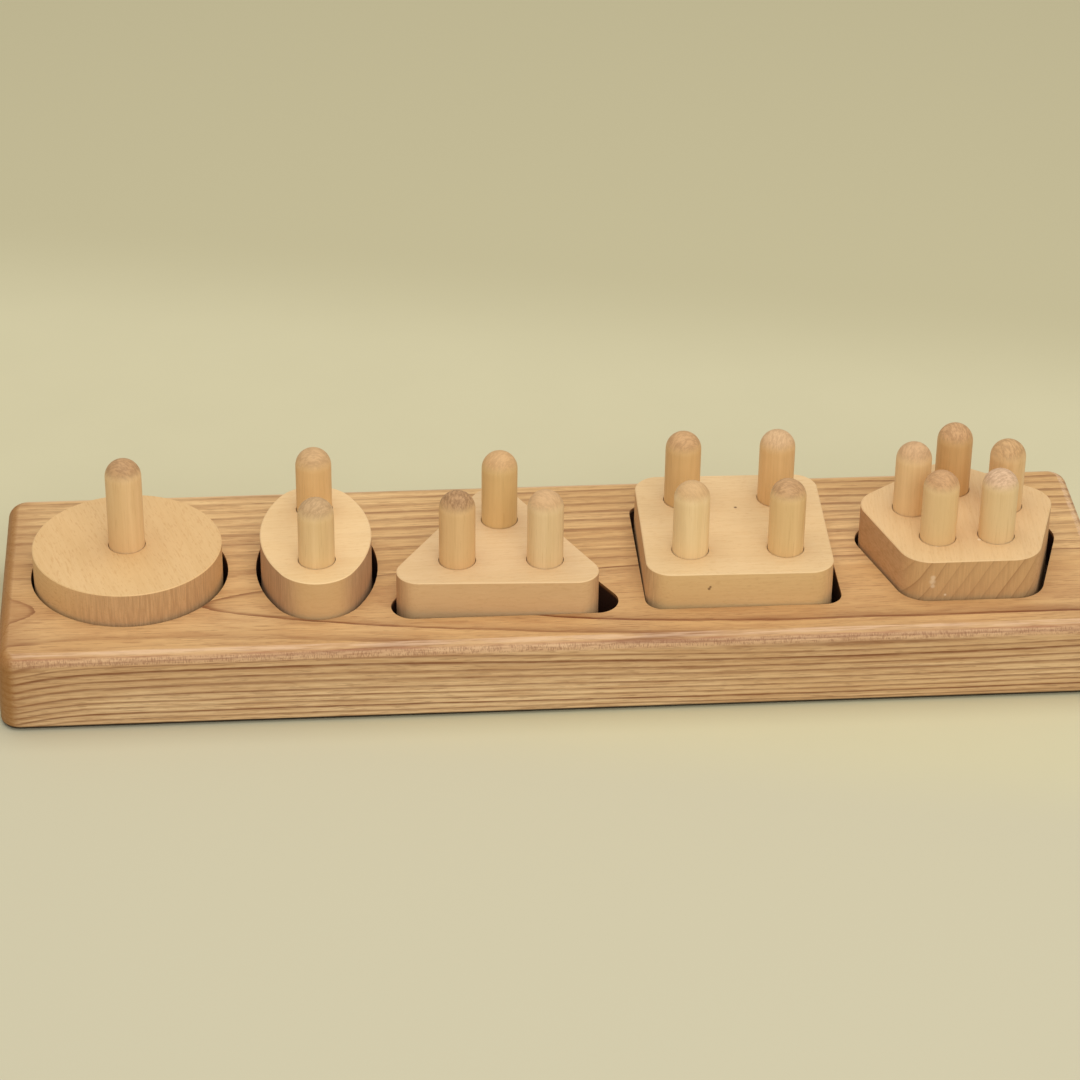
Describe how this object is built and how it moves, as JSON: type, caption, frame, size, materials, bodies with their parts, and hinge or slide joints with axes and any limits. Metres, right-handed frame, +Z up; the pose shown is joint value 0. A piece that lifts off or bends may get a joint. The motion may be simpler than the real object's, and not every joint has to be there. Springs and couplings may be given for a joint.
{
  "type": "shape and counting board",
  "caption": "Long wooden board with shaped pockets that hold loose round, oval, triangular, square and five-sided blocks, each drilled for round-topped counting pegs.",
  "frame": {"origin": "middle of the board's flat underside", "axes": "+X along the board from the round block to the five-sided one, +Y to the back, +Z up"},
  "size_m": [0.4606, 0.125, 0.0897],
  "materials": {
    "board_wood": "oiled, strong grain",
    "block_wood": "sanded, fine grain",
    "peg_wood": "sanded, fine grain"
  },
  "bodies": {
    "board": {"board": "board_wood"},
    "round_block": {"round_block": "block_wood"},
    "oval_block": {"oval_block": "block_wood"},
    "triangle_block": {"triangle_block": "block_wood"},
    "square_block": {"square_block": "block_wood"},
    "pentagon_block": {"pentagon_block": "block_wood"},
    "round_peg": {"round_peg": "peg_wood"},
    "oval_peg_back": {"oval_peg_back": "peg_wood"},
    "oval_peg_front": {"oval_peg_front": "peg_wood"},
    "triangle_peg_back": {"triangle_peg_back": "peg_wood"},
    "triangle_peg_left": {"triangle_peg_left": "peg_wood"},
    "triangle_peg_right": {"triangle_peg_right": "peg_wood"},
    "square_peg_back_left": {"square_peg_back_left": "peg_wood"},
    "square_peg_front_left": {"square_peg_front_left": "peg_wood"},
    "square_peg_front_right": {"square_peg_front_right": "peg_wood"},
    "square_peg_back_right": {"square_peg_back_right": "peg_wood"},
    "pentagon_peg_back": {"pentagon_peg_back": "peg_wood"},
    "pentagon_peg_left": {"pentagon_peg_left": "peg_wood"},
    "pentagon_peg_front_left": {"pentagon_peg_front_left": "peg_wood"},
    "pentagon_peg_front_right": {"pentagon_peg_front_right": "peg_wood"},
    "pentagon_peg_right": {"pentagon_peg_right": "peg_wood"}
  },
  "joints": [
    {"name": "round_block_lift", "type": "slide", "parent": "board", "child": "round_block", "axis": [0, 0, 1], "range_m": [0, 0.08]},
    {"name": "oval_block_lift", "type": "slide", "parent": "board", "child": "oval_block", "axis": [0, 0, 1], "range_m": [0, 0.08]},
    {"name": "triangle_block_lift", "type": "slide", "parent": "board", "child": "triangle_block", "axis": [0, 0, 1], "range_m": [0, 0.08]},
    {"name": "square_block_lift", "type": "slide", "parent": "board", "child": "square_block", "axis": [0, 0, 1], "range_m": [0, 0.08]},
    {"name": "pentagon_block_lift", "type": "slide", "parent": "board", "child": "pentagon_block", "axis": [0, 0, 1], "range_m": [0, 0.08]},
    {"name": "round_peg_lift", "type": "slide", "parent": "round_block", "child": "round_peg", "axis": [0, 0, 1], "range_m": [0, 0.06]},
    {"name": "oval_peg_back_lift", "type": "slide", "parent": "oval_block", "child": "oval_peg_back", "axis": [0, 0, 1], "range_m": [0, 0.06]},
    {"name": "oval_peg_front_lift", "type": "slide", "parent": "oval_block", "child": "oval_peg_front", "axis": [0, 0, 1], "range_m": [0, 0.06]},
    {"name": "triangle_peg_back_lift", "type": "slide", "parent": "triangle_block", "child": "triangle_peg_back", "axis": [0, 0, 1], "range_m": [0, 0.06]},
    {"name": "triangle_peg_left_lift", "type": "slide", "parent": "triangle_block", "child": "triangle_peg_left", "axis": [0, 0, 1], "range_m": [0, 0.06]},
    {"name": "triangle_peg_right_lift", "type": "slide", "parent": "triangle_block", "child": "triangle_peg_right", "axis": [0, 0, 1], "range_m": [0, 0.06]},
    {"name": "square_peg_back_left_lift", "type": "slide", "parent": "square_block", "child": "square_peg_back_left", "axis": [0, 0, 1], "range_m": [0, 0.06]},
    {"name": "square_peg_front_left_lift", "type": "slide", "parent": "square_block", "child": "square_peg_front_left", "axis": [0, 0, 1], "range_m": [0, 0.06]},
    {"name": "square_peg_front_right_lift", "type": "slide", "parent": "square_block", "child": "square_peg_front_right", "axis": [0, 0, 1], "range_m": [0, 0.06]},
    {"name": "square_peg_back_right_lift", "type": "slide", "parent": "square_block", "child": "square_peg_back_right", "axis": [0, 0, 1], "range_m": [0, 0.06]},
    {"name": "pentagon_peg_back_lift", "type": "slide", "parent": "pentagon_block", "child": "pentagon_peg_back", "axis": [0, 0, 1], "range_m": [0, 0.06]},
    {"name": "pentagon_peg_left_lift", "type": "slide", "parent": "pentagon_block", "child": "pentagon_peg_left", "axis": [0, 0, 1], "range_m": [0, 0.06]},
    {"name": "pentagon_peg_front_left_lift", "type": "slide", "parent": "pentagon_block", "child": "pentagon_peg_front_left", "axis": [0, 0, 1], "range_m": [0, 0.06]},
    {"name": "pentagon_peg_front_right_lift", "type": "slide", "parent": "pentagon_block", "child": "pentagon_peg_front_right", "axis": [0, 0, 1], "range_m": [0, 0.06]},
    {"name": "pentagon_peg_right_lift", "type": "slide", "parent": "pentagon_block", "child": "pentagon_peg_right", "axis": [0, 0, 1], "range_m": [0, 0.06]}
  ]
}
